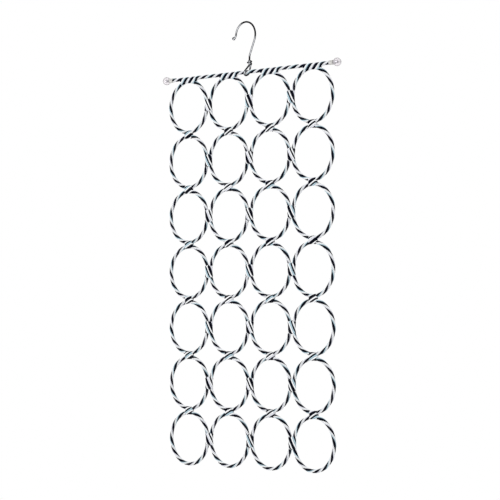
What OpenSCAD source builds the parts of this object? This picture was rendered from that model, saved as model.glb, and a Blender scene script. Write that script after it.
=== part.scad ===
// Scarf hanger: seven rows of four wire rings, each ring bound in twisted strands, hang from a
// bound bar on a wire hook. The rings of a row are lashed side by side. Each row is lashed to the
// one above and turns about that row's lowest wires, so that it folds up in front or behind.
// Units are millimetres. +Z is up, X runs along the bar and the front faces -Y. The origin is the
// top of the hook's inside bend, where it sits on a rail.

/* [Rings] */
// Rings side by side in a row
columns = 4; // [2:1:4]
// Rows of rings, one below the other
rows = 7; // [2:1:7]
// Distance between the middles of two rings side by side
col_pitch = 85; // [84.5:0.5:88]
// Distance between the middles of two rows
row_pitch = 84.3; // [84.2:0.1:85]
// Radius of a ring, to the middle of its wire
ring_r = 39.05; // [38.8:0.05:39.1]
// Diameter of a ring's steel wire
ring_wire_d = 2.2; // [1.8:0.1:2.3]
// Outside diameter of a ring's strands
ring_wrap_d = 5.8; // [5:0.1:5.8]

/* [Lashings] */
// Length of the lashing between a ring and the ring below it
tie_len = 12; // [8:1:12]
// Outside diameter of a lashing round one wire
tie_d = 5.7; // [5:0.1:5.7]
// Bore of that lashing round the upper ring's wire, about which it turns
tie_bore_d = 3.5; // [3.4:0.1:3.8]
// Length of the lashing between rings side by side
side_tie_len = 15; // [10:1:16]
// Rounding at the ends of a lashing
tie_round = 0.9; // [0.5:0.1:1]

/* [Bar] */
// Diameter of the steel rod
rod_d = 3; // [2.6:0.1:3]
// Outside diameter of the strands that cover the rod
bar_wrap_d = 4; // [3.8:0.1:4]
// Length of rod that the strands cover
bar_wrap_len = 322; // [320:1:324]
// Drop from the middle of the rod to the top of the first row's wires
lash_drop = 4.5; // [4.2:0.1:5]
// Length over which the top of a ring is bound to the rod
lash_len = 28; // [24:1:28]
// Diameter of the lashing where it goes round a ring's wire
lash_ring_d = 3.3; // [3:0.1:3.4]

/* [Outer strand of the bar] */
// Diameter of the strand that winds round the bar and the tops of the rings
strand_d = 1.1; // [0.8:0.1:1.2]
// Turns of that strand from one ring to the next
turns_per_ring = 6; // [6:1:6]
// How far the turns close up over the rings
turn_shift = 2.2; // [2:0.1:2.4]
// Turns past the middle of the outermost rings
end_turns = 2.25; // [2.2:0.01:2.25]

/* [Ends] */
// Diameter of the clear ball at each end of the bar
ball_d = 12; // [10:0.5:14]
// Distance from the middle of the bar to the middle of a ball
ball_x = 175.5; // [175:0.5:180]
// Diameter of the ferrule that holds the ends of the strands
ferrule_d = 6.6; // [5.5:0.1:8]
// Length of the ferrule
ferrule_len = 7.5; // [6:0.5:8]

/* [Hook] */
// Diameter of the hook's wire
hook_wire_d = 2.6; // [2.2:0.1:2.6]
// Radius of the hook's bend, to the middle of the wire
hook_r = 20; // [19:0.5:24]
// Height of the middle of the bend above the rod
hook_height = 55.5; // [52:0.5:70]
// How far the middle of the bar lies to the right of the bend
bar_x = 6.4; // [4:0.1:8]
// How far the shank stands to the right of the middle of the bar
shank_offset = 1.5; // [0:0.1:2]
// Lean of the straight part below the bend, in degrees
hook_lean = 24; // [20:1:28]
// Radius of the bend above the shank
shank_bend_r = 12; // [8:1:14]
// Height of the eye's neck above the rod
neck_rise = 12.5; // [12:0.5:15]
// Radius of the eye round the bar, to the middle of the wire
eye_r = 5.3; // [5.3:0.1:5.8]
// Lean of the eye along the bar, in degrees
eye_lean = 25; // [20:1:25]
// Radius of the bends at the eye's neck
neck_bend_r = 4; // [3.5:0.5:5]
// Turns that the wire's tail makes round the shank
tail_turns = 1.5; // [1:0.5:2]
// Radius of the outward curl at the tip
curl_r = 4.5; // [4:0.5:6]
// Angle of that curl, in degrees
curl_angle = 60; // [40:5:70]
// Diameter of the round cap on the tip
tip_d = 4.8; // [4.2:0.1:6]

/* [Hidden] */
$fn = 64;
// Play between pieces that are bound tightly
fit = 0.05;
// Space between the end of a lashing and the strands beside it
end_gap = 0.35;
// How far a cut runs past the face that it opens
past = 1;
// Thickness of the flat part of a lashing, as a share of its part round a wire
web_share = 0.88;
// How far the rod reaches past the middle of a ball, and the wall of the ball's collar round it
rod_past_ball = 1;
collar_wall = 1.1;
// Places of the pressed groove along a ferrule, as shares of its length, and its depth
groove = [0.35, 0.42, 0.58, 0.65];
groove_depth = 0.6;
ferrule_edge = 0.4;
// Where on the hook's bend the outward curl starts, in degrees above its middle
curl_end = 5;
// Length of wire inside the tip's cap
tip_len = 2.4;
// Radius and climb of the tail's turns, the part of a turn in which it closes on the shank, and
// how far it climbs there beside its pitch
tail_r = hook_wire_d + 0.1;
tail_pitch = hook_wire_d + 0.3;
tail_close = 0.25;
tail_lift = 1.2;
// Points in each turn of the tail, and sides of its wire
tail_points = 14;
tail_sides = 10;

hook_z = -(hook_r - hook_wire_d / 2);
bar_z = hook_z - hook_height;
shank_x = bar_x + shank_offset;
link = row_pitch - 2 * ring_r;
side_link = col_pitch - 2 * ring_r;

function row_z(row) = bar_z - lash_drop - ring_r - (row - 1) * row_pitch;
function col_x(col) = bar_x + (col - (columns + 1) / 2) * col_pitch;

// The four places where a ring may be lashed, as quarter turns from its right side
RIGHT = 0;
TOP = 1;
LEFT = 2;
BOTTOM = 3;

function is_lashed(row, col, side) =
    side == RIGHT ? col < columns :
    side == LEFT ? col > 1 :
    side == BOTTOM ? row < rows : true;

// Half of the angle that a lashing takes out of the strands, so that no strand reaches into it
function clear_angle(half_len) = asin((half_len + end_gap) / (ring_r - ring_wrap_d / 2));
function bare_angle(row, side) =
    side == TOP && row == 1 ? clear_angle(lash_len / 2) :
    side == TOP || side == BOTTOM ? clear_angle(tie_len / 2) : clear_angle(side_tie_len / 2);

steel = [0.72, 0.74, 0.77];
hook_steel = [0.55, 0.57, 0.6];
white_strands = [0.93, 0.95, 0.97];
blue_strands = [0.62, 0.75, 0.84];
navy_strand = [0.06, 0.08, 0.19];
clear_plastic = [0.88, 0.87, 0.9, 0.6];
tin = [0.5, 0.49, 0.47];

// A bent tube in the XZ plane round the origin, from one angle and through a sweep, with a bore
module arc_tube(r, d, from, sweep, bore = 0) {
    rotate([90, 0, 0]) rotate([0, 0, from]) rotate_extrude(angle = sweep)
        translate([r, 0]) difference() {
            circle(d = d);
            if (bore > 0) circle(d = bore);
        }
}

// A round bar along X with rounded-off ends
module barrel(length, d) {
    half = length / 2;
    rotate([0, 90, 0]) rotate_extrude() polygon([
        [0, -half], [d / 2 - tie_round, -half], [d / 2, tie_round - half],
        [d / 2, half - tie_round], [d / 2 - tie_round, half], [0, half]
    ]);
}

// The outside of a lashing round two parallel wires along X, one at the origin and one below it
module lashing_body(length, apart) {
    barrel(length, tie_d);
    translate([0, 0, -apart]) barrel(length, tie_d);
    translate([0, 0, -apart / 2]) cube(
        [length - 2 * tie_round, tie_d * web_share, apart], center = true);
}

module at_ring(row, col) {
    translate([col_x(col), 0, row_z(row)]) children();
}

module ring_wires(row) {
    color(steel) for (col = [1 : columns]) at_ring(row, col)
        arc_tube(ring_r, ring_wire_d, 0, 360);
}

// The strands cover the ring's wire from each lashing to the next
module ring_wrap(row, col) {
    sides = [for (side = [RIGHT : BOTTOM]) if (is_lashed(row, col, side)) side];
    count = len(sides);
    color(white_strands) at_ring(row, col) for (i = [0 : count - 1]) {
        here = sides[i];
        next = i < count - 1 ? sides[i + 1] : sides[0] + 4;
        from = here * 90 + bare_angle(row, here);
        to = next * 90 - bare_angle(row, next % 4);
        arc_tube(ring_r, ring_wrap_d, from, to - from, ring_wire_d + 2 * fit);
    }
}

// Strands bound tightly round the wires of two rings side by side
module side_lashings(row) {
    color(blue_strands) for (col = [1 : columns - 1]) difference() {
        at_ring(row, col) translate([ring_r, 0, 0]) rotate([0, -90, 0])
            lashing_body(side_tie_len, side_link);
        for (side = [0, 1]) at_ring(row, col + side)
            arc_tube(ring_r, ring_wire_d + 2 * fit, 0, 360);
    }
}

// Strands bound round the highest wires of a row and the lowest of the row above. They are tight
// on their own row's wires, and loose enough on the others to turn about them.
module row_lashings(row) {
    color(blue_strands) for (col = [1 : columns]) difference() {
        translate([col_x(col), 0, row_z(row) + ring_r + link]) difference() {
            lashing_body(tie_len, link);
            rotate([0, 90, 0]) cylinder(d = tie_bore_d, h = tie_len + 2 * past, center = true);
        }
        at_ring(row, col) arc_tube(ring_r, ring_wire_d + 2 * fit, 0, 360);
    }
}

module bar_rod() {
    color(steel) translate([bar_x, 0, bar_z]) rotate([0, 90, 0])
        cylinder(d = rod_d, h = 2 * (ball_x + rod_past_ball), center = true);
}

// The strands round the rod, from each lashing to the next and out to the ferrules
module bar_wrap() {
    ends = concat(
        [-bar_wrap_len / 2],
        [for (col = [1 : columns], side = [-1, 1])
            col_x(col) - bar_x + side * (lash_len / 2 + end_gap)],
        [bar_wrap_len / 2]
    );
    color(white_strands) translate([bar_x, 0, bar_z]) rotate([0, 90, 0])
        for (i = [0 : 2 : len(ends) - 2]) translate([0, 0, ends[i]]) difference() {
            cylinder(d = bar_wrap_d, h = ends[i + 1] - ends[i]);
            translate([0, 0, -past])
                cylinder(d = rod_d + 2 * fit, h = ends[i + 1] - ends[i] + 2 * past);
        }
}

// The rod and the top of a ring's wire lie one above the other in the same strands. The strands
// between them are a flat web that ends on the curve of the wire.
module bar_lashings() {
    half_angle = asin(lash_len / 2 / ring_r);
    deepest = lash_drop + ring_r * (1 - cos(half_angle));
    color(blue_strands) for (col = [1 : columns]) difference() {
        union() {
            translate([col_x(col), 0, bar_z]) rotate([0, 90, 0])
                cylinder(d = bar_wrap_d, h = lash_len, center = true);
            at_ring(1, col) arc_tube(ring_r, lash_ring_d, 90 - half_angle, 2 * half_angle);
            difference() {
                translate([col_x(col), 0, bar_z - deepest / 2])
                    cube([lash_len, lash_ring_d * web_share, deepest], center = true);
                at_ring(1, col) rotate([90, 0, 0])
                    cylinder(r = ring_r, h = lash_ring_d, center = true);
            }
        }
        translate([col_x(col), 0, bar_z]) rotate([0, 90, 0])
            cylinder(d = rod_d + 2 * fit, h = lash_len + 2 * past, center = true);
        at_ring(1, col) arc_tube(ring_r, ring_wire_d + 2 * fit, 0, 360);
    }
}

// The outer strand is one unbroken tube. It climbs across the front of the bar and falls behind
// it, six turns to a ring. Two of the six go round the ring's wire as well as the rod, and the
// turns close up there. Its path is measured in turns from the middle of the first ring.
strand_sides = 6;
// Angles from the front at which the path has a point, over the rod and then under it
stations = [each [0 : 20 : 180], each [195 : 18.75 : 345]];
// Length that runs straight into the ferrule, and the shares of the way to it with a point
straight_run = 1.2;
end_shares = [1 / 3, 2 / 3, 1];
strand_lift = strand_d / 2 + fit;
strand_out = bar_wrap_d / 2 + strand_lift;
strand_out_low = lash_ring_d / 2 + strand_lift;

function strand_x(turn) = col_x(1) + col_pitch * turn / turns_per_ring
    - turn_shift * sin(360 * turn / turns_per_ring);
function from_ring(x) = x - col_x(1) - round((x - col_x(1)) / col_pitch) * col_pitch;
function strand_drop(x) = let (off = from_ring(x))
    abs(off) < lash_len / 2 ? lash_drop + ring_r - sqrt(ring_r ^ 2 - off ^ 2) : 0;
// The point after whole turns and an angle from the front, where the strand climbs
function strand_point(whole, angle) =
    let (x = strand_x(whole + angle / 360 - 0.25), drop = strand_drop(x),
         under = angle > 180, out = under && drop > 0 ? strand_out_low : strand_out)
    [x, -out * cos(angle), bar_z + out * sin(angle) - (under ? drop : 0)];
// At each end the strand turns less and less, and then runs straight into the ferrule's face
function strand_end(from, dir) =
    let (face = bar_x + dir * bar_wrap_len / 2,
         run = abs(face - from[0]) - straight_run,
         full_turn = 360 * turns_per_ring / col_pitch * run,
         angles = [for (k = end_shares) angle_of(from) + dir * full_turn * (k - k * k / 2)],
         xs = [for (k = end_shares) from[0] + dir * k * run])
    [
        for (i = [0 : len(end_shares)])
            let (angle = angles[min(i, len(end_shares) - 1)])
            [i < len(end_shares) ? xs[i] : face - dir * fit,
             -strand_out * cos(angle), bar_z + strand_out * sin(angle)]
    ];

first_turn = -ceil(end_turns);
last_turn = (columns - 1) * turns_per_ring + ceil(end_turns);
turn_path = [
    for (whole = [first_turn : last_turn], angle = stations)
        let (turn = whole + angle / 360 - 0.25)
        if (turn >= -end_turns && turn <= (columns - 1) * turns_per_ring + end_turns)
            strand_point(whole, angle)
];

function unit(v) = v / norm(v);
function angle_of(p) = atan2(p[2] - bar_z, -p[1]);
function reversed(list) = [for (i = [len(list) - 1 : -1 : 0]) list[i]];
strand_path = concat(
    reversed(strand_end(turn_path[0], -1)),
    turn_path,
    strand_end(turn_path[len(turn_path) - 1], 1)
);

// The direction from the middle of the bound rod, or rod and wire, to a point of the strand
function from_bar(p) = [0, p[1], p[2] - bar_z + strand_drop(p[0]) / 2];

// A tube along a path that winds round an axis, its sides square to the path at each point
module wound_tube(path, d, sides, away) {
    last = len(path) - 1;
    points = [
        for (i = [0 : last])
            let (p = path[i],
                 ahead = unit(path[min(i + 1, last)] - path[max(i - 1, 0)]),
                 raw = away(p),
                 out = unit(raw - (raw * ahead) * ahead),
                 across = cross(ahead, out))
            for (k = [0 : sides - 1])
                p + d / 2 * (cos(360 * k / sides) * out + sin(360 * k / sides) * across)
    ];
    skin = [
        for (i = [0 : last - 1], k = [0 : sides - 1])
            let (a = i * sides + k, b = i * sides + (k + 1) % sides)
            each [[a, b, b + sides], [a, b + sides, a + sides]]
    ];
    caps = [
        for (k = [1 : sides - 2])
            each [[0, k + 1, k], [last * sides, last * sides + k, last * sides + k + 1]]
    ];
    polyhedron(points = points, faces = [for (f = concat(skin, caps)) [f[0], f[2], f[1]]]);
}

module bar_strand() {
    color(navy_strand) wound_tube(strand_path, strand_d, strand_sides, function (p) from_bar(p));
}

// The least space between one turn of the strand and the next two, surface to surface
turn_stations = len(stations);
half_turn = floor(turn_stations / 2);
least_gap = min([
    for (i = [0 : len(turn_path) - turn_stations], j = [i + half_turn : i + 2 * turn_stations])
        if (j < len(turn_path)) norm(turn_path[i] - turn_path[j]) - strand_d
]);
echo(least_gap_between_turns_of_the_bar_strand = least_gap, turns = len(turn_path) / turn_stations);

// A crimped tin band that holds the ends of the strands, with a groove where it was pressed
module ferrule(dir) {
    inner = bar_wrap_len / 2 + fit;
    outer = inner + ferrule_len;
    half = ferrule_d / 2;
    bore = rod_d / 2 + fit;
    color(tin) translate([bar_x, 0, bar_z]) rotate([0, dir * 90, 0]) rotate_extrude() polygon([
        [bore, inner], [half - ferrule_edge, inner], [half, inner + ferrule_edge],
        for (i = [0 : 3])
            [i == 0 || i == 3 ? half : half - groove_depth, inner + ferrule_len * groove[i]],
        [half, outer - ferrule_edge], [half - ferrule_edge, outer], [bore, outer]
    ]);
}

// A clear plastic ball pressed on the end of the rod, with a short collar against the ferrule
module end_ball(dir) {
    collar = bar_wrap_len / 2 + ferrule_len + 2 * fit;
    color(clear_plastic) translate([bar_x, 0, bar_z]) rotate([0, dir * 90, 0]) difference() {
        union() {
            translate([0, 0, ball_x]) sphere(d = ball_d);
            translate([0, 0, collar]) cylinder(d = rod_d + 2 * collar_wall, h = ball_x - collar);
        }
        cylinder(d = rod_d + 2 * fit, h = ball_x + rod_past_ball + fit);
    }
}

// The tip's straight end and the cap on it share this place and direction
module at_tip() {
    turned = -curl_end - curl_angle;
    translate([0, 0, hook_z]) translate((hook_r + curl_r) * [-cos(curl_end), 0, sin(curl_end)])
        translate(curl_r * [cos(turned), 0, sin(turned)]) rotate([0, -turned, 0]) children();
}

module hook_tip_cap() {
    color(hook_steel) at_tip() difference() {
        translate([0, 0, -tip_len]) sphere(d = tip_d);
        translate([0, 0, -tip_len - fit]) cylinder(d = hook_wire_d + 2 * fit, h = tip_d);
    }
}

// A wire bent as on a bending bench. Each step runs straight, rolls the wire about itself and
// then bends it: [length, roll, bend radius, bend angle]. A ball a hair thicker than the wire
// closes each joint between two pieces.
joint_ball_d = hook_wire_d * 1.02;
joint_gap = 0.1;
module bent_wire(d, steps, i = 0) {
    if (i < len(steps)) {
        run = steps[i][0];
        r = steps[i][2];
        angle = steps[i][3];
        if (run > 0) {
            translate([0, 0, joint_gap]) cylinder(d = d, h = run - 2 * joint_gap);
            translate([0, 0, run]) sphere(d = joint_ball_d);
        }
        translate([0, 0, run]) rotate([0, 0, steps[i][1]]) {
            trim = angle > 0 ? joint_gap / r * 180 / PI : 0;
            if (angle > 0) {
                translate([r, 0, 0]) arc_tube(r, d, 180 - angle + trim, angle - 2 * trim);
                translate([r * (1 - cos(angle)), 0, r * sin(angle)]) sphere(d = joint_ball_d);
            }
            translate([r * (1 - cos(angle)), 0, r * sin(angle)]) rotate([0, angle, 0])
                bent_wire(d, steps, i + 1);
        }
    }
}

// From the bend, the wire leans in to the shank's line
lean_run = (hook_r * cos(hook_lean) - shank_x - shank_bend_r * (1 - cos(hook_lean)))
    / sin(hook_lean);
shank_top = hook_z - (hook_r + shank_bend_r) * sin(hook_lean) - lean_run * cos(hook_lean);

// The eye lies in a plane that leans along the bar. In it, the wire comes down from the neck,
// bends forward to a line that touches the eye's circle, goes round under the bar and comes up
// behind the shank.
neck_low = neck_rise - neck_bend_r * sin(eye_lean);
neck_side = neck_bend_r * (1 - cos(eye_lean));
eye_x = shank_x - neck_side - neck_low * tan(eye_lean);
eye_top = neck_low / cos(eye_lean);
front_far = norm([neck_bend_r, eye_top]);
front_run = sqrt(front_far ^ 2 - (neck_bend_r + eye_r) ^ 2);
front_angle = atan2(neck_bend_r + eye_r, front_run) - atan2(neck_bend_r, eye_top);
back_far = norm([tail_r, eye_top]);
back_run = sqrt(back_far ^ 2 - eye_r ^ 2);
back_angle = atan2(eye_r, back_run) - atan2(tail_r, eye_top);

// The tail starts where the back of the eye reaches the neck, and climbs round the shank
function tail_start() = [
    eye_x + eye_top * sin(eye_lean), tail_r, bar_z + eye_top * cos(eye_lean)
];
module tail() {
    start = tail_start() - [shank_x, 0, 0];
    start_r = norm([start[0], start[1]]);
    start_angle = atan2(start[1], start[0]);
    steps = round(tail_turns * tail_points);
    path = [
        for (i = [0 : steps])
            let (turn = tail_turns * i / steps,
                 near = min(1, turn / tail_close),
                 r = start_r + (tail_r - start_r) * near,
                 angle = start_angle - 360 * turn)
            [r * cos(angle), r * sin(angle), start[2] + tail_lift * near + tail_pitch * turn]
    ];
    translate([shank_x, 0, 0])
        wound_tube(path, hook_wire_d, tail_sides, function (p) [p[0], p[1], 0]);
}

// One length of wire: tip, curl, bend, leaning part, shank, eye and tail
module hook_wire() {
    color(hook_steel) {
        at_tip() translate([0, 0, -tip_len]) bent_wire(hook_wire_d, [
            [tip_len, 180, curl_r, curl_angle],
            [0, 180, hook_r, 180 - curl_end + hook_lean],
            [lean_run, 180, shank_bend_r, hook_lean],
            [shank_top - bar_z - neck_rise, 180, neck_bend_r, eye_lean],
            [0, -90, neck_bend_r, front_angle],
            [front_run, 180, eye_r, 180 + front_angle + back_angle],
            [back_run, 0, 0, 0]
        ]);
        tail();
    }
}

hook_wire();
hook_tip_cap();
bar_rod();
bar_wrap();
bar_strand();
bar_lashings();
ferrule(-1);  // ferrule_left
ferrule(1);  // ferrule_right
end_ball(-1);  // end_ball_left
end_ball(1);  // end_ball_right
for (row = [1 : rows]) {
    ring_wires(row);
    for (col = [1 : columns])
        ring_wrap(row, col);
    side_lashings(row);
    if (row > 1) row_lashings(row);
}
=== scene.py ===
import bpy
import numpy as np
from mathutils import Matrix


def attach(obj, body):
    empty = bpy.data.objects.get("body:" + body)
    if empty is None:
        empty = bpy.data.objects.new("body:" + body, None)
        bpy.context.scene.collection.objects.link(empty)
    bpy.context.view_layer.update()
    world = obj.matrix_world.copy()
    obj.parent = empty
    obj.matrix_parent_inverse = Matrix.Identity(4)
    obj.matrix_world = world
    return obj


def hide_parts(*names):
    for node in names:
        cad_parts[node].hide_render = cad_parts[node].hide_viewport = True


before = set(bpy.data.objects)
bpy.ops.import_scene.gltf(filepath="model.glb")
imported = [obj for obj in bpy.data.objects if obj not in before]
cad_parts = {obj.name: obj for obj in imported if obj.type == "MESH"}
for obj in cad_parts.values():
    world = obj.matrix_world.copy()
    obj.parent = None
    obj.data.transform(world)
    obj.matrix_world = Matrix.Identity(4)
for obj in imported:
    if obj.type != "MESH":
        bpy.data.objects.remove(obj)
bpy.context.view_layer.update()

MM = 0.001
scene = bpy.context.scene

# The view of the hanger: from three metres away, to the right of its front and a little from
# below, through a long lens that fits the whole hanger in a square picture.
CAMERA_PLACE = (2228.4 * MM, -2324.0 * MM, -446.7 * MM)
TURN, LOOK_UP, ROLL = 43.7, 1.9, -0.2
LENS, FILM_WIDTH = 155.7, 36.0
FAR_LIMIT = 200.0

camera = bpy.data.objects.new("camera", bpy.data.cameras.new("camera"))
camera.data.lens = LENS
camera.data.sensor_width = FILM_WIDTH
camera.data.clip_end = FAR_LIMIT
camera.matrix_world = (
    Matrix.Translation(CAMERA_PLACE)
    @ Matrix.Rotation(np.radians(TURN), 4, "Z")
    @ Matrix.Rotation(np.radians(90.0 + LOOK_UP), 4, "X")
    @ Matrix.Rotation(np.radians(ROLL), 4, "Z")
)
scene.collection.objects.link(camera)
scene.camera = camera

# The hook is one length of plated steel wire. It is bent in a large open bend with a small curl
# at the tip, runs down to the bar, goes round it in an eye and is wound round its own shank.
X, Y, Z = np.eye(3)
BAR_X = 6.4
WIRE_R = 1.3
HOOK_R = 20.0
HOOK_Z = -(HOOK_R - WIRE_R)
BAR_Z = HOOK_Z - 55.5
CURL_R, CURL_ANGLE, CURL_END = 4.5, 60.0, 5.0
TIP_LEN = 2.4
HOOK_LEAN, SHANK_BEND_R = 24.0, 12.0
SHANK_X = BAR_X + 1.5
NECK_RISE, NECK_BEND_R = 12.5, 4.0
EYE_R, EYE_LEAN = 5.3, 25.0
TAIL_TURNS, TAIL_R, TAIL_PITCH = 1.5, 2.7, 2.9
# The part of a turn in which the tail closes on the shank, and how far it climbs there
TAIL_CLOSING, TAIL_CLOSING_RISE = 0.25, 1.2
BENCH_STEP, WIRE_STEP = 0.5, 0.35
ROUNDING_PASSES = 6


def bent_wire(place, axes, steps):
    """The middle line of a wire bent on a bench. Each step is a straight length along the third
    axis, a roll about it, and an arc of a radius and an angle towards the first axis."""
    x, y, z = axes
    runs = [place[None, :]]
    for length, roll, radius, angle in steps:
        if length > 0:
            share = np.linspace(0, 1, max(2, int(length / BENCH_STEP) + 1))[1:, None]
            runs.append(place + share * length * z)
            place = place + length * z
        roll, angle = np.radians(roll), np.radians(angle)
        x, y = np.cos(roll) * x + np.sin(roll) * y, np.cos(roll) * y - np.sin(roll) * x
        if angle > 0:
            a = np.linspace(0, angle, max(3, int(radius * angle / BENCH_STEP) + 1))[1:, None]
            runs.append(place + radius * (1 - np.cos(a)) * x + radius * np.sin(a) * z)
            place = runs[-1][-1]
            x, z = np.cos(angle) * x - np.sin(angle) * z, np.sin(angle) * x + np.cos(angle) * z
    return np.concatenate(runs)


def evenly(path):
    """The path with its points an even distance apart, after each point has been moved to the
    mean of itself and its neighbours a few times, which rounds off the joints."""
    for _ in range(ROUNDING_PASSES):
        path = np.concatenate([path[:1], (path[:-2] + 2 * path[1:-1] + path[2:]) / 4, path[-1:]])
    far = np.concatenate([[0], np.cumsum(np.linalg.norm(np.diff(path, axis=0), axis=1))])
    at = np.linspace(0, far[-1], int(far[-1] / WIRE_STEP) + 1)
    return np.stack([np.interp(at, far, path[:, i]) for i in range(3)], axis=1)


def unit(v):
    """Vectors divided by their lengths."""
    return v / np.linalg.norm(v, axis=-1, keepdims=True)


def tube(path, radius, sides):
    """A round skin along a path: at each place a circle of the radius, square to the path. The
    first direction of each circle is carried over from the place before."""
    ahead = unit(np.gradient(path, axis=0))
    side = np.empty_like(path)
    side[0] = unit(np.cross(ahead[0], Y))
    for i in range(1, len(path)):
        side[i] = unit(side[i - 1] - (side[i - 1] @ ahead[i]) * ahead[i])
    other = np.cross(side, ahead)
    turn = np.linspace(0, 2 * np.pi, sides, endpoint=False)[None, :, None]
    return path[:, None] + radius * (np.cos(turn) * side[:, None] + np.sin(turn) * other[:, None])


def closed_piece(name, skins, material, body, replaced, uv=None):
    """One piece from one or more skins. A skin is a grid of points in millimetres whose rows run
    round the piece; a fan closes its first and last row. The skins share the UV, which is the
    places across, one more than there are columns, and the places along, one for each row."""
    points, quads, quad_uv, fans, fan_uv = [], [], [], [], []
    base = 0
    for skin in skins:
        rows, cols = skin.shape[:2]
        across, along = uv or (np.linspace(0, 1, cols + 1), np.linspace(0, 1, rows))
        here = base + np.arange(rows * cols).reshape(rows, cols)
        after = np.roll(here, -1, axis=1)
        lay = np.stack(np.broadcast_arrays(across[None, :], along[:, None]), -1)
        quads.append(np.stack([here[:-1], here[1:], after[1:], after[:-1]], 2).reshape(-1, 4))
        corners = [lay[:-1, :-1], lay[1:, :-1], lay[1:, 1:], lay[:-1, 1:]]
        quad_uv.append(np.stack(corners, 2).reshape(-1, 2))
        middle = np.full(cols, base + rows * cols)
        fans += [np.stack([middle, here[0], after[0]], 1),
                 np.stack([middle + 1, after[-1], here[-1]], 1)]
        fan_uv += [np.stack([lay[0, :-1], lay[0, :-1], lay[0, 1:]], 1).reshape(-1, 2),
                   np.stack([lay[-1, :-1], lay[-1, 1:], lay[-1, :-1]], 1).reshape(-1, 2)]
        points += [skin.reshape(-1, 3), skin[0].mean(0)[None], skin[-1].mean(0)[None]]
        base += rows * cols + 2
    faces = np.concatenate(quads).tolist() + np.concatenate(fans).tolist()
    mesh = bpy.data.meshes.new(name)
    mesh.from_pydata((np.concatenate(points) * MM).tolist(), [], faces)
    layer = mesh.uv_layers.new(name="lay")
    layer.data.foreach_set("uv", np.concatenate(quad_uv + fan_uv).astype(np.float32).ravel())
    mesh.polygons.foreach_set("use_smooth", np.ones(len(faces), bool))
    mesh.materials.append(material)
    piece = bpy.data.objects.new(name, mesh)
    scene.collection.objects.link(piece)
    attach(piece, body)
    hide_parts(*replaced)


def set_up(node, links, values):
    """Sets a node's plain inputs and its settings, and links outputs to its other inputs. An
    input has a line between its words, or a number after a line where names repeat."""
    for key, value in values.items():
        words = key.replace("_", " ")
        if key[0] == "_":
            node.inputs[int(key[1:])].default_value = value
        elif words in node.inputs:
            node.inputs[words].default_value = value
        else:
            setattr(node, key, value)
    for key, output in links.items():
        node.id_data.links.new(output, node.inputs[key])


def put(tree, kind, links=None, **values):
    """A new node of a kind, set up."""
    node = tree.nodes.new(kind)
    set_up(node, links or {}, values)
    return node


def new_material(name, **values):
    """A material with one shader, whose plain numbers are set on the shader itself."""
    material = bpy.data.materials.new(name)
    material.use_nodes = True
    shader = material.node_tree.nodes["Principled BSDF"]
    set_up(shader, {}, values)
    return material, material.node_tree, shader


def plated_wire():
    """Bright plating with fine scratches along the wire and a slightly uneven polish."""
    material, tree, shader = new_material("bright plating", Base_Color=(0.5, 0.51, 0.53, 1),
                                          Metallic=1.0)
    place = put(tree, "ShaderNodeTexCoord").outputs["Object"]
    cloud = put(tree, "ShaderNodeTexNoise", {"Vector": place}, Scale=220.0, Detail=3.0)
    polish = put(tree, "ShaderNodeMapRange", {"Value": cloud.outputs["Fac"]},
                 To_Min=0.06, To_Max=0.16)
    stretch = put(tree, "ShaderNodeMapping", {"Vector": place}, Scale=(1.0, 1.0, 0.05))
    scratch = put(tree, "ShaderNodeTexNoise", {"Vector": stretch.outputs["Vector"]},
                  Scale=4200.0, Detail=2.0)
    bump = put(tree, "ShaderNodeBump", {"Height": scratch.outputs["Fac"]},
               Strength=0.12, Distance=0.00004)
    set_up(shader, {"Roughness": polish.outputs["Result"], "Normal": bump.outputs["Normal"]}, {})
    return material


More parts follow.
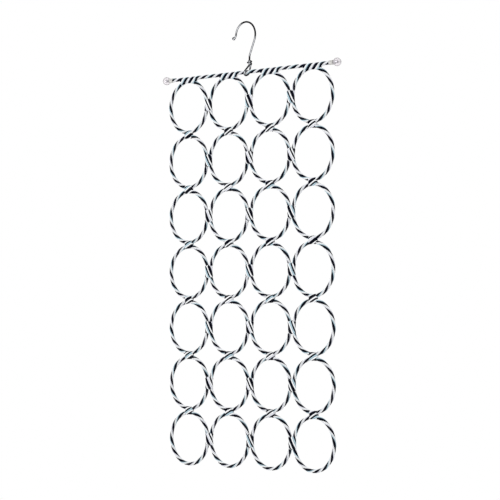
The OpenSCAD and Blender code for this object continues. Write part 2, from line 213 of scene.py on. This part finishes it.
def hook_line():
    """The bends of the hook in order: curl, large bend, lean, shank, neck and eye, then the tail
    as a helix round the shank."""
    tip_turn = np.radians(-CURL_END - CURL_ANGLE)
    end = np.radians(CURL_END)
    tip = HOOK_Z * Z + (HOOK_R + CURL_R) * (np.sin(end) * Z - np.cos(end) * X)
    tip = tip + CURL_R * (np.cos(tip_turn) * X + np.sin(tip_turn) * Z)
    axes = (np.cos(tip_turn) * X + np.sin(tip_turn) * Z, Y,
            np.cos(tip_turn) * Z - np.sin(tip_turn) * X)
    lean, tilt = np.radians(HOOK_LEAN), np.radians(EYE_LEAN)
    lean_run = HOOK_R * np.cos(lean) - SHANK_X - SHANK_BEND_R * (1 - np.cos(lean))
    lean_run /= np.sin(lean)
    shank_top = HOOK_Z - (HOOK_R + SHANK_BEND_R) * np.sin(lean) - lean_run * np.cos(lean)
    neck_low = NECK_RISE - NECK_BEND_R * np.sin(tilt)
    eye_x = SHANK_X - NECK_BEND_R * (1 - np.cos(tilt)) - neck_low * np.tan(tilt)
    eye_top = neck_low / np.cos(tilt)
    front_run = np.sqrt(NECK_BEND_R ** 2 + eye_top ** 2 - (NECK_BEND_R + EYE_R) ** 2)
    front = np.degrees(np.arctan2(NECK_BEND_R + EYE_R, front_run)
                       - np.arctan2(NECK_BEND_R, eye_top))
    back_run = np.sqrt(TAIL_R ** 2 + eye_top ** 2 - EYE_R ** 2)
    back = np.degrees(np.arctan2(EYE_R, back_run) - np.arctan2(TAIL_R, eye_top))
    wire = bent_wire(tip - TIP_LEN * axes[2], axes, [
        (TIP_LEN, 180, CURL_R, CURL_ANGLE),
        (0, 180, HOOK_R, 180 - CURL_END + HOOK_LEAN),
        (lean_run, 180, SHANK_BEND_R, HOOK_LEAN),
        (shank_top - BAR_Z - NECK_RISE, 180, NECK_BEND_R, EYE_LEAN),
        (0, -90, NECK_BEND_R, front),
        (front_run, 180, EYE_R, 180 + front + back),
        (back_run, 0, 0, 0),
    ])
    start_x, start_z = eye_x + eye_top * np.sin(tilt) - SHANK_X, BAR_Z + eye_top * np.cos(tilt)
    start_r = np.hypot(start_x, TAIL_R)
    share = np.linspace(0, 1, num=80)[1:]
    near = np.minimum(1, share * TAIL_TURNS / TAIL_CLOSING)
    r = start_r + (TAIL_R - start_r) * near
    turn = np.arctan2(TAIL_R, start_x) - 2 * np.pi * TAIL_TURNS * share
    climb = start_z + TAIL_CLOSING_RISE * near + TAIL_PITCH * TAIL_TURNS * share
    tail = np.stack([SHANK_X + r * np.cos(turn), r * np.sin(turn), climb], axis=1)
    return evenly(np.concatenate([wire, tail]))


plating = plated_wire()
line = hook_line()
closed_piece("hook", [tube(line, WIRE_R, sides=24)], plating, "hook", ["hook_wire"])

# A small round cap is pressed on the hook's tip, so that it doesn't catch the cloth. It is a
# turned bead, plated like the wire, with a short collar round the wire's end.
CAP_R = 2.4
# Distances along the wire from the bead's middle, and radii
COLLAR = ((2.0, 1.66), (3.2, 1.62), (3.35, 1.4))


def turned(profile, place, axis, sides):
    """A turned shape: each point of the profile, a distance along the axis and a radius, makes a
    circle round the axis, which lies square to Y."""
    start = unit(np.cross(axis, Y))
    other = np.cross(start, axis)
    turn = np.linspace(0, 2 * np.pi, sides, endpoint=False)[None, :, None]
    far, r = profile[:, 0, None, None], profile[:, 1, None, None]
    return place + far * axis + r * (np.cos(turn) * start + np.sin(turn) * other)


def arc(middle, radius, start, end, count):
    """Points of a profile on a circle about a place on the axis, from one angle to another."""
    a = np.radians(np.linspace(start, end, count))
    return np.stack([middle + radius * np.cos(a), radius * np.sin(a)], axis=1)


cap_profile = np.concatenate([arc(0, CAP_R, start=179, end=46, count=22), COLLAR])
closed_piece("hook_tip", [turned(cap_profile, line[0], unit(line[4] - line[0]), sides=32)],
             plating, "hook", ["hook_tip_cap"])

# The bar's steel rod carries everything. Only its ends show, through the clear balls. It is
# drawn wire with a dull grey surface.
rod_steel, _, _ = new_material("drawn steel", Base_Color=(0.42, 0.42, 0.44, 1), Roughness=0.35,
                               Metallic=1.0)


def give(node, material):
    """Gives one of the frame's own meshes its one material."""
    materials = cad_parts[node].data.materials
    materials.clear()
    materials.append(material)


give("bar_rod", rod_steel)

# A clear plastic ball is pressed on each end of the rod. It is moulded in two halves, with a
# faint parting line, a short neck against the ferrule and a dimple at the outer pole.
WRAP_HALF = 161.0
FERRULE_LEN = 7.5
NECK_GAP = 0.2
BALL_R = 6.0
BALL_X = 175.5
# Distances along the rod from the neck's start, and radii
NECK = ((0, 1.6), (0, 2.6), (0.8, 2.65))
# Distances along the rod from the ball's middle, and heights above the ball
SEAM = ((-0.12, 0.02), (0, 0.1), (0.12, 0.02))
# Distances along the rod from the outer pole, and radii
DIMPLE = ((-0.35, 1.1), (-0.75, 0.5), (-0.85, 0.02))


def color_ramp(tree, value, stops, blend="LINEAR"):
    """Colours that follow a value, through stops that are a place and a colour each."""
    node = put(tree, "ShaderNodeValToRGB", {"Fac": value})
    node.color_ramp.interpolation = blend
    elements = node.color_ramp.elements
    for i, (place, color) in enumerate(stops):
        element = elements[i] if i < 2 else elements.new(place)
        element.position, element.color = place, (*color, 1.0)
    return node.outputs["Color"]


def clear_plastic():
    """Clear plastic, a little milky and pink, with flow lines from the moulding. It is less clear
    at its rim, and painted shade darkens its colour there, where the surface turns edge-on."""
    material, tree, shader = new_material("clear plastic", Roughness=0.14, IOR=1.47)
    place = put(tree, "ShaderNodeTexCoord").outputs["Object"]
    flow = put(tree, "ShaderNodeTexNoise", {"Vector": place}, Scale=380.0, Detail=4.0)
    bump = put(tree, "ShaderNodeBump", {"Height": flow.outputs["Fac"]},
               Strength=0.04, Distance=0.0001)
    slant = put(tree, "ShaderNodeLayerWeight", Blend=0.5).outputs["Facing"]
    # The colour is the plastic's milky pink, with painted shade that darkens it to grey towards
    # the rim, where the surface turns edge-on.
    pink_and_painted_rim_shade = color_ramp(tree, slant, ((0.35, (0.97, 0.93, 0.96)), (0.8, (0.3, 0.28, 0.3))))
    clearness = put(tree, "ShaderNodeMapRange", {"Value": slant},
                    From_Min=0.4, From_Max=0.85, To_Min=0.84, To_Max=0.2)
    set_up(shader, {"Normal": bump.outputs["Normal"], "Base Color": pink_and_painted_rim_shade,
                    "Transmission Weight": clearness.outputs["Result"]}, {})
    return material


clear = clear_plastic()
bar_place = BAR_X * X + BAR_Z * Z
ball_profile = np.concatenate([
    np.add(NECK, (WRAP_HALF + FERRULE_LEN + NECK_GAP, 0)),
    arc(BALL_X, BALL_R, start=154, end=92, count=16),
    np.add(SEAM, (BALL_X, BALL_R)),
    arc(BALL_X, BALL_R, start=88, end=14, count=18),
    np.add(DIMPLE, (BALL_X + BALL_R, 0)),
])
for side, word in ((-1, "left"), (1, "right")):
    closed_piece(f"ball_{word}", [turned(ball_profile, bar_place, side * X, sides=48)], clear,
                 "bar", [f"end_ball_{word}"])

# A tin ferrule holds the ends of the strands at each end of the bar. It is a drawn band, pressed
# in with a crimping tool that leaves a groove round its middle.
FERRULE_R, FERRULE_HOLE_R = 3.3, 1.6
FERRULE_GAP = 0.05
GROOVE_DEPTH, EDGE_ROUND = 0.5, 0.35
GROOVE_SHARE, EDGE_SHARE = 0.1, 0.05


def dull_tin():
    """Dull tin, with clouds of lighter and darker grey."""
    material, tree, shader = new_material("dull tin", Roughness=0.35, Metallic=0.3)
    place = put(tree, "ShaderNodeTexCoord").outputs["Object"]
    cloud = put(tree, "ShaderNodeTexNoise", {"Vector": place}, Scale=500.0, Detail=5.0)
    grey = color_ramp(tree, cloud.outputs["Fac"], ((0, (0.6, 0.59, 0.56)),
                                                   (1, (0.92, 0.91, 0.89))))
    set_up(shader, {"Base Color": grey}, {})
    return material


tin = dull_tin()
far = np.linspace(0, 1, num=60)
edge = np.minimum(1, np.minimum(far, 1 - far) / EDGE_SHARE)
band_r = (FERRULE_R - EDGE_ROUND * (1 - np.sqrt(1 - (1 - edge) ** 2))
          - GROOVE_DEPTH * np.exp(-((far - 0.5) / GROOVE_SHARE) ** 2))
band_x = WRAP_HALF + FERRULE_GAP + FERRULE_LEN * far
band_profile = np.stack([np.pad(band_x, 1, "edge"),
                         np.pad(band_r, 1, constant_values=FERRULE_HOLE_R)], axis=1)
for side, word in ((-1, "left"), (1, "right")):
    closed_piece(f"ferrule_band_{word}", [turned(band_profile, bar_place, side * X, sides=60)],
                 tin, "bar", [f"ferrule_{word}"])

# The bar is bound in eight strands that lie side by side and twist together, two of them navy.
# Between the rings they go round the rod. At the top of each ring of the first row they go round
# the ring's wire as well, and the turns close up there.
COLUMNS = 4
COL_PITCH = 85.0
RING_R = 39.05
LASH_DROP = 4.5
BAR_R = 3.0
BAR_LASH_HALF, BAR_LASH_RUN = 14.0, 4.5
# How far the strands follow the ring's wire as it curves away
RING_TOP_REACH = 19
# How much thinner the bar is where it is lashed, how uneven it is, and over what run
LASH_TIGHTER, BAR_UNEVEN, BAR_UNEVEN_RUN = 0.04, 0.02, 40.0
NAVY_STRANDS, NAVY_FRONTS_PER_RING = 2, 6
SPARE_FRONTS = 4
TURN_SHIFT = 2.2
# The part of a turn by which a navy strand is past the front at the middle of a ring
BAR_PHASE = 0.0625
BAR_STEP = 0.8
BAR_GROOVE = 0.8
STRAND_WIDTHS = (2.7, 0.75, 0.75, 0.8, 2.5, 0.75, 0.75, 0.75)
# The power by which a wide strand lies lower, and how round a strand's ridge is
FLATNESS, ROUNDNESS = 0.4, 0.98
# How far a strand lies in and out and to its sides, and over what runs
LIFT, LIFT_RUN = 0.09, 17.0
SHIFT, SHIFT_RUN = 0.1, 23.0
SEEDS_PER_PIECE, FIRST_SHIFT_SEED = 100, 50
# The three sines of an uneven run: radians in a run's length, and weights
WAVES = ((2 * np.pi, 0.5), (3.41, 0.3), (11.3, 0.2))
# Places across a strand, closer together towards the grooves
ACROSS = np.array([0, 0.04, 0.12, 0.26, 0.42, 0.58, 0.74, 0.88, 0.96])


def col_x(col):
    """The columns' middles stand a pitch apart, as many on either side of the bar's middle."""
    return BAR_X + (col - (COLUMNS + 1) / 2) * COL_PITCH


def eased(x):
    """A smooth step from 0 to 1: three times the square less twice the cube."""
    x = np.clip(x, 0, 1)
    return x * x * (3 - 2 * x)


def slow_wave(at, seed, length):
    """A smooth uneven line between about -1 and 1: three sines of unlike lengths whose phases
    come from a seed."""
    start = np.random.default_rng(seed).uniform(0, 2 * np.pi, len(WAVES))
    return sum(weight * np.sin(at / length * speed + phase)
               for (speed, weight), phase in zip(WAVES, start))


def strand_skin(middle, up, front, half, radius, twist, widths, groove, seed, step):
    """The skin of strands that twist together round one wire, or round two that lie half a
    distance above and below the middle line. Its outline is two half circles joined by straight
    sides, and a strand's place round the outline is the sum of the widths before it plus the
    twist. Each strand is a round ridge from groove to groove, a wide one lower than a narrow one,
    and it is pulled in or let out and moved sideways a little along its run."""
    strands = len(widths)
    strand = np.repeat(np.arange(strands), len(ACROSS))
    u = np.tile(ACROSS, strands)
    at = np.arange(len(middle)) * step
    seed = seed * SEEDS_PER_PIECE
    lift = np.stack([slow_wave(at, seed + i, LIFT_RUN) for i in range(strands)], 1)[:, strand]
    seed = seed + FIRST_SHIFT_SEED
    shift = np.stack([slow_wave(at, seed + i, SHIFT_RUN) for i in range(strands)], 1)
    shift = np.concatenate([shift, shift[:, :1]], 1)
    shift = shift[:, strand] * (1 - u) + shift[:, strand + 1] * u
    share = np.array(widths) / np.sum(widths)
    start = np.cumsum(share) - share
    turn = start[strand] + (u + SHIFT * shift) * share[strand] + twist[:, None]
    h, r = half[:, None], radius[:, None]
    bow = np.pi * r
    way = np.mod(turn, 1) * (4 * h + 2 * bow)
    angle = np.clip((way - h) / r, 0, np.pi) + np.clip((way - 3 * h - bow) / r, 0, np.pi)
    off = (np.clip(way, 0, h) - np.clip(way - h - bow, 0, 2 * h)
           + np.clip(way - 3 * h - 2 * bow, 0, h))
    height = (share.min() / share)[strand] ** FLATNESS
    ridge = height * np.sqrt(1 - ROUNDNESS * (2 * u - 1) ** 2)
    out = r + LIFT * lift - groove * (1 - ridge)
    around = np.cos(angle)[..., None] * front[:, None] + np.sin(angle)[..., None] * up[:, None]
    return middle[:, None] + off[..., None] * up[:, None] + out[..., None] * around


def strand_uv(strands, rows, step, first=0):
    """Across runs in strands, from the first strand's number. Along runs in millimetres."""
    inside = np.repeat(np.arange(strands), len(ACROSS)) + np.tile(ACROSS, strands)
    return np.append(inside, strands) + first, np.arange(rows) * step


NAVY = (0.002, 0.003, 0.011)
LIGHT_BLUE = (0.42, 0.58, 0.66)
PALE = (0.74, 0.75, 0.82)
WHITE = (0.9, 0.915, 0.93)
RING_COLORS = (NAVY, LIGHT_BLUE, WHITE, WHITE, NAVY, PALE, WHITE, WHITE)
LASH_COLORS = (NAVY, NAVY, WHITE, LIGHT_BLUE, NAVY, WHITE, NAVY, NAVY, PALE, WHITE, NAVY, WHITE)
STRAND_COLORS = RING_COLORS + LASH_COLORS
FIBRE_SLANT = 0.9


def maths(tree, operation, *sources, **values):
    """The outcome of a sum on outputs, in their order, and on plain values after them."""
    node = put(tree, "ShaderNodeMath", dict(enumerate(sources)), operation=operation, **values)
    return node.outputs[0]


def strand_finish():
    """Soft twisted strands. The colour goes by the strand's number. Each strand has fine fibres
    that run round it at a slant and small differences of shade along it, and painted shade darkens
    its colour towards the grooves at its edges."""
    material, tree, shader = new_material(
        "twisted strands", Roughness=0.62, Sheen_Weight=0.02, Sheen_Roughness=0.4,
        Specular_IOR_Level=0.08)
    uv = put(tree, "ShaderNodeUVMap", uv_map="lay").outputs["UV"]
    part = put(tree, "ShaderNodeSeparateXYZ", {"Vector": uv}).outputs
    count = len(STRAND_COLORS)
    number = maths(tree, "FLOOR", part["X"])
    share = maths(tree, "FRACT", maths(tree, "MULTIPLY_ADD", number, _1=1 / count, _2=0.5 / count))
    stops = [(i / count, color) for i, color in enumerate(STRAND_COLORS)]
    color = color_ramp(tree, share, stops, "CONSTANT")
    slant = put(tree, "ShaderNodeMath", {0: part["X"], 2: part["Y"]}, operation="MULTIPLY_ADD",
                _1=FIBRE_SLANT).outputs[0]
    run = put(tree, "ShaderNodeCombineXYZ", {"X": slant, "Y": part["X"]}).outputs["Vector"]
    fibre = put(tree, "ShaderNodeTexNoise", {"Vector": run},
                Scale=5.5, Detail=4.0, Roughness=0.6).outputs["Fac"]
    shade = put(tree, "ShaderNodeMapRange", {"Value": fibre}, To_Min=0.86, To_Max=1.1)
    # Painted shade in the grooves: from a quarter of the way out from a strand's middle, its
    # colour darkens to 0.45 at its edges.
    inside = maths(tree, "FRACT", part["X"])
    edge = maths(tree, "ABSOLUTE", maths(tree, "SUBTRACT", inside, _1=0.5))
    shadow = put(tree, "ShaderNodeMapRange", {"Value": edge}, interpolation_type="SMOOTHSTEP",
                 From_Min=0.26, From_Max=0.5, To_Min=1.0, To_Max=0.45)
    shade = maths(tree, "MULTIPLY", shade.outputs["Result"], shadow.outputs["Result"])
    tint = put(tree, "ShaderNodeMix", {6: color, 7: shade}, data_type="RGBA",
               blend_type="MULTIPLY", _0=1.0)
    bump = put(tree, "ShaderNodeBump", {"Height": fibre}, Strength=0.5, Distance=0.00012)
    set_up(shader, {"Base Color": tint.outputs[2], "Normal": bump.outputs["Normal"]}, {})
    return material


strands_finish = strand_finish()
bar_at = np.arange(-WRAP_HALF, WRAP_HALF + BAR_STEP / 2, BAR_STEP)
fronts = np.linspace(-SPARE_FRONTS, (COLUMNS - 1) * NAVY_FRONTS_PER_RING + SPARE_FRONTS,
                     num=2000)
fronts_x = (col_x(1) + COL_PITCH * fronts / NAVY_FRONTS_PER_RING
            - TURN_SHIFT * np.sin(2 * np.pi * fronts / NAVY_FRONTS_PER_RING))
bar_twist = np.interp(BAR_X + bar_at, fronts_x, fronts) / NAVY_STRANDS + BAR_PHASE
nearest = np.round((BAR_X + bar_at - col_x(1)) / COL_PITCH) + 1
from_ring = np.abs(BAR_X + bar_at - col_x(nearest))
bound = 1 - eased((from_ring - BAR_LASH_HALF) / BAR_LASH_RUN)
drop = LASH_DROP + RING_R - np.sqrt(RING_R ** 2 - np.minimum(from_ring, RING_TOP_REACH) ** 2)
bar_half = bound * drop / 2
bar_middle = (BAR_X + bar_at)[:, None] * X + (BAR_Z - bar_half)[:, None] * Z
bar_radius = BAR_R * (1 - LASH_TIGHTER * bound
                      + BAR_UNEVEN * slow_wave(bar_at, seed=5, length=BAR_UNEVEN_RUN))
ones = np.ones((len(bar_at), 1))
bar_skin = strand_skin(bar_middle, ones * Z, -ones * Y, bar_half, bar_radius, bar_twist,
                       STRAND_WIDTHS, BAR_GROOVE, seed=11, step=BAR_STEP)
closed_piece("bar_strands", [bar_skin], strands_finish, "bar",
             ["bar_wrap", "bar_strand", "bar_lashings"],
             strand_uv(len(STRAND_WIDTHS), len(bar_at), BAR_STEP))

# Each ring is a steel wire bound in eight twisted strands. The strands run on under the lashings,
# drawn in tightly there, and their ends meet under the lashing at the top.
ROWS = 7
ROW_PITCH = 84.3
ROW_1_Z = BAR_Z - LASH_DROP - RING_R
RING_STRAND_R, PINCHED_R = 2.95, 2.25
RING_GROOVE = 0.85
RING_STEP = 1.1
RING_TURNS, TURNS_LUCK = 5.85, 0.25
TIE_HALF, SIDE_TIE_HALF = 8.5, 10.0
# How far inside a lashing's end the strands start to widen, and over what run
PINCH_INSIDE, PINCH_RUN = 2.0, 2.2
# How uneven a ring's thickness and its twist are, and over what runs
RING_UNEVEN, RING_UNEVEN_RUN = 0.03, 55.0
TWIST_UNEVEN, TWIST_UNEVEN_RUN = 0.03, 70.0
SEEDS_PER_ROW, TWIST_SEED = 10, 7


def row_z(row):
    """Each row's middle lies a pitch below that of the row above."""
    return ROW_1_Z - (row - 1) * ROW_PITCH


def row_body(row):
    """The first row moves with the bar, and each other row by itself."""
    return "bar" if row == 1 else f"row_{row}"


# Millimetres round a ring from the top towards the right, and the direction out to its wire
round_ring = 2 * np.pi * RING_R
way = np.linspace(0, round_ring, int(round_ring / RING_STEP))
out = np.sin(way / RING_R)[:, None] * X + np.cos(way / RING_R)[:, None] * Z
front = np.broadcast_to(-Y, out.shape)
ring_uv = strand_uv(len(STRAND_WIDTHS), len(way), way[1])
for row in range(1, ROWS + 1):
    give(f"ring_wires_{row}", rod_steel)
    for col in range(1, COLUMNS + 1):
        seed = SEEDS_PER_ROW * row + col
        luck = np.random.default_rng(seed)
        top_half = BAR_LASH_HALF if row == 1 else TIE_HALF
        # Lashings, as quarter turns from the top and half a length each
        ties = [(0, top_half), (4, top_half)]
        ties += [(1, SIDE_TIE_HALF)] if col < COLUMNS else []
        ties += [(2, TIE_HALF)] if row < ROWS else []
        ties += [(3, SIDE_TIE_HALF)] if col > 1 else []
        pinch = sum(1 - eased((np.abs(way - quarter * round_ring / 4) - reach + PINCH_INSIDE)
                              / PINCH_RUN) for quarter, reach in ties)
        wobble = 1 + RING_UNEVEN * slow_wave(way, seed, RING_UNEVEN_RUN)
        radius = RING_STRAND_R * wobble * (1 - pinch) + PINCHED_R * pinch
        turns = RING_TURNS + luck.uniform(-TURNS_LUCK, TURNS_LUCK)
        twist = (turns * way / round_ring + luck.uniform(0, 1)
                 + TWIST_UNEVEN * slow_wave(way, seed + TWIST_SEED, TWIST_UNEVEN_RUN))
        middle = col_x(col) * X + row_z(row) * Z + RING_R * out
        skin = strand_skin(middle, out, front, np.zeros(len(way)), radius, twist, STRAND_WIDTHS,
                           RING_GROOVE, seed, step=way[1])
        closed_piece(f"ring_{row}_{col}", [skin], strands_finish, row_body(row),
                     [f"ring_wrap_{row}_{col}"], ring_uv)

# The strands of two rings side by side are wound together where the rings touch, which lashes
# them to each other. Twelve strands slant down across both wires.
LASH_WIDTHS = np.ones(len(LASH_COLORS))
LASH_R, LASH_END_R, LASH_END_RUN = 3.1, 0.4, 2.6
LASH_GROOVE = 0.7
LASH_ROWS = 46
# Millimetres that the strands go round for each along, at least and at most
LASH_SLOPES = (0.48, 0.6)
SIDE_LINK = COL_PITCH - 2 * RING_R
SIDE_SEED = 300


def lashing(place, ahead, up, reach, link, seed, turning=False):
    """Strands round two rings that touch, along the line where they touch. The distance between
    the two wires grows as the rings curve away, and both ends close under the rings' strands. A
    lashing that turns on the upper wire stays straight there."""
    luck = np.random.default_rng(seed)
    at = np.linspace(-reach, reach, LASH_ROWS)
    sag = RING_R - np.sqrt(RING_R ** 2 - at ** 2)
    half = link / 2 + (sag / 2 if turning else sag)
    middle = place + at[:, None] * ahead - (sag[:, None] / 2 * up if turning else 0)
    end = eased((reach - np.abs(at)) / LASH_END_RUN)
    radius = LASH_END_R + (LASH_R - LASH_END_R) * np.sqrt(end)
    outline = 2 * link + 2 * np.pi * LASH_R
    twist = luck.uniform(0, 1) + at * luck.uniform(*LASH_SLOPES) / outline
    flat = np.ones((len(at), 1))
    return strand_skin(middle, flat * up, -flat * Y, half, radius, twist, LASH_WIDTHS,
                       LASH_GROOVE, seed, step=at[1] - at[0])


def lash_uv(reach):
    """The lashing's UV. Its strand numbers come after those of the rings."""
    step = 2 * reach / (LASH_ROWS - 1)
    return strand_uv(len(LASH_COLORS), LASH_ROWS, step, first=len(RING_COLORS))


for row in range(1, ROWS + 1):
    seed = SIDE_SEED + SEEDS_PER_ROW * row
    skins = [lashing((col_x(col) + COL_PITCH / 2) * X + row_z(row) * Z, -Z, X, SIDE_TIE_HALF,
                     SIDE_LINK, seed + col) for col in range(1, COLUMNS)]
    closed_piece(f"side_ties_{row}", skins, strands_finish, row_body(row),
                 [f"side_lashings_{row}"], lash_uv(SIDE_TIE_HALF))

# A row hangs from the row above in four lashings of the same kind. They are tight on their own
# row's wires and turn about the wires above, so that a row folds up in front or behind.
ROW_LINK = ROW_PITCH - 2 * RING_R
ROW_SEED = 500

for row in range(2, ROWS + 1):
    tie_z = row_z(row) + RING_R + ROW_LINK / 2
    seed = ROW_SEED + SEEDS_PER_ROW * row
    skins = [lashing(col_x(col) * X + tie_z * Z, X, Z, TIE_HALF, ROW_LINK, seed + col,
                     turning=True) for col in range(1, COLUMNS + 1)]
    closed_piece(f"row_ties_{row}", skins, strands_finish, row_body(row),
                 [f"row_lashings_{row}"], lash_uv(TIE_HALF))

# The studio is plain: a pale floor well below the hanger, white all round, a broad soft light
# from the left front and a weaker one from the right. What the wire mirrors is a dark room with
# one bright place, low in front, so neither the floor nor the lights show in it.
FLOOR_Z, FLOOR_R = -1.0, 3.2
SOFT_LIGHT = 0.85
BRIGHT_PLACE = (0.3, -0.7, -0.62)
# Stops of how nearly a direction points at the bright place, with the light there
ROOM = ((0.72, (0.02, 0.02, 0.022)), (0.9, (2.2, 2.2, 2.22)))
HANGER_MIDDLE = (0.0, 0.0, -0.33)

floor_turn = np.linspace(0, 2 * np.pi, num=96, endpoint=False)
floor_rim = np.stack([FLOOR_R * np.cos(floor_turn), FLOOR_R * np.sin(floor_turn),
                      np.full(len(floor_turn), FLOOR_Z)], axis=1)
floor_mesh = bpy.data.meshes.new("floor")
floor_mesh.from_pydata(floor_rim.tolist(), [], [list(range(len(floor_rim)))])
floor = bpy.data.objects.new("floor", floor_mesh)
floor_paint, _, _ = new_material("pale floor", Base_Color=(0.94, 0.94, 0.94, 1), Roughness=0.9)
floor_mesh.materials.append(floor_paint)
floor.visible_glossy = False
scene.collection.objects.link(floor)

scene.world = bpy.data.worlds.new("studio")
scene.world.use_nodes = True
sky = scene.world.node_tree
white_air = sky.nodes["Background"]
set_up(white_air, {}, {"Color": (1, 1, 1, 1)})
soft_air = put(sky, "ShaderNodeBackground", Color=(1, 1, 1, 1), Strength=SOFT_LIGHT)
direction = put(sky, "ShaderNodeTexCoord").outputs["Generated"]
toward = put(sky, "ShaderNodeVectorMath", {0: direction}, operation="DOT_PRODUCT",
             _1=tuple(unit(np.array(BRIGHT_PLACE)))).outputs["Value"]
room = put(sky, "ShaderNodeBackground", {"Color": color_ramp(sky, toward, ROOM, "EASE")})
ways = put(sky, "ShaderNodeLightPath").outputs
lit = put(sky, "ShaderNodeMixShader",
          {0: ways["Is Diffuse Ray"], 1: room.outputs[0], 2: soft_air.outputs[0]})
straight = maths(sky, "MAXIMUM", ways["Is Camera Ray"], ways["Is Transmission Ray"])
mixed = put(sky, "ShaderNodeMixShader",
            {0: straight, 1: lit.outputs[0], 2: white_air.outputs[0]})
set_up(sky.nodes["World Output"], {"Surface": mixed.outputs[0]}, {})


def soft_light(name, place, size, power):
    """A square area light at a place, turned to face the middle of the hanger."""
    lamp = bpy.data.objects.new(name, bpy.data.lights.new(name, "AREA"))
    lamp.data.size = size
    lamp.data.energy = power
    ahead = unit(np.array(HANGER_MIDDLE) - np.array(place))
    side = unit(np.cross(ahead, Z))
    over = np.cross(side, ahead)
    lamp.matrix_world = Matrix((
        (side[0], over[0], -ahead[0], place[0]), (side[1], over[1], -ahead[1], place[1]),
        (side[2], over[2], -ahead[2], place[2]), (0, 0, 0, 1)))
    lamp.visible_glossy = False
    scene.collection.objects.link(lamp)


soft_light("key light", place=(-1.6, -2.2, 1.1), size=1.4, power=36.0)
soft_light("fill light", place=(2.6, -0.6, 0.6), size=1.2, power=12.0)
scene.view_settings.view_transform = "Standard"

bpy.context.view_layer.update()
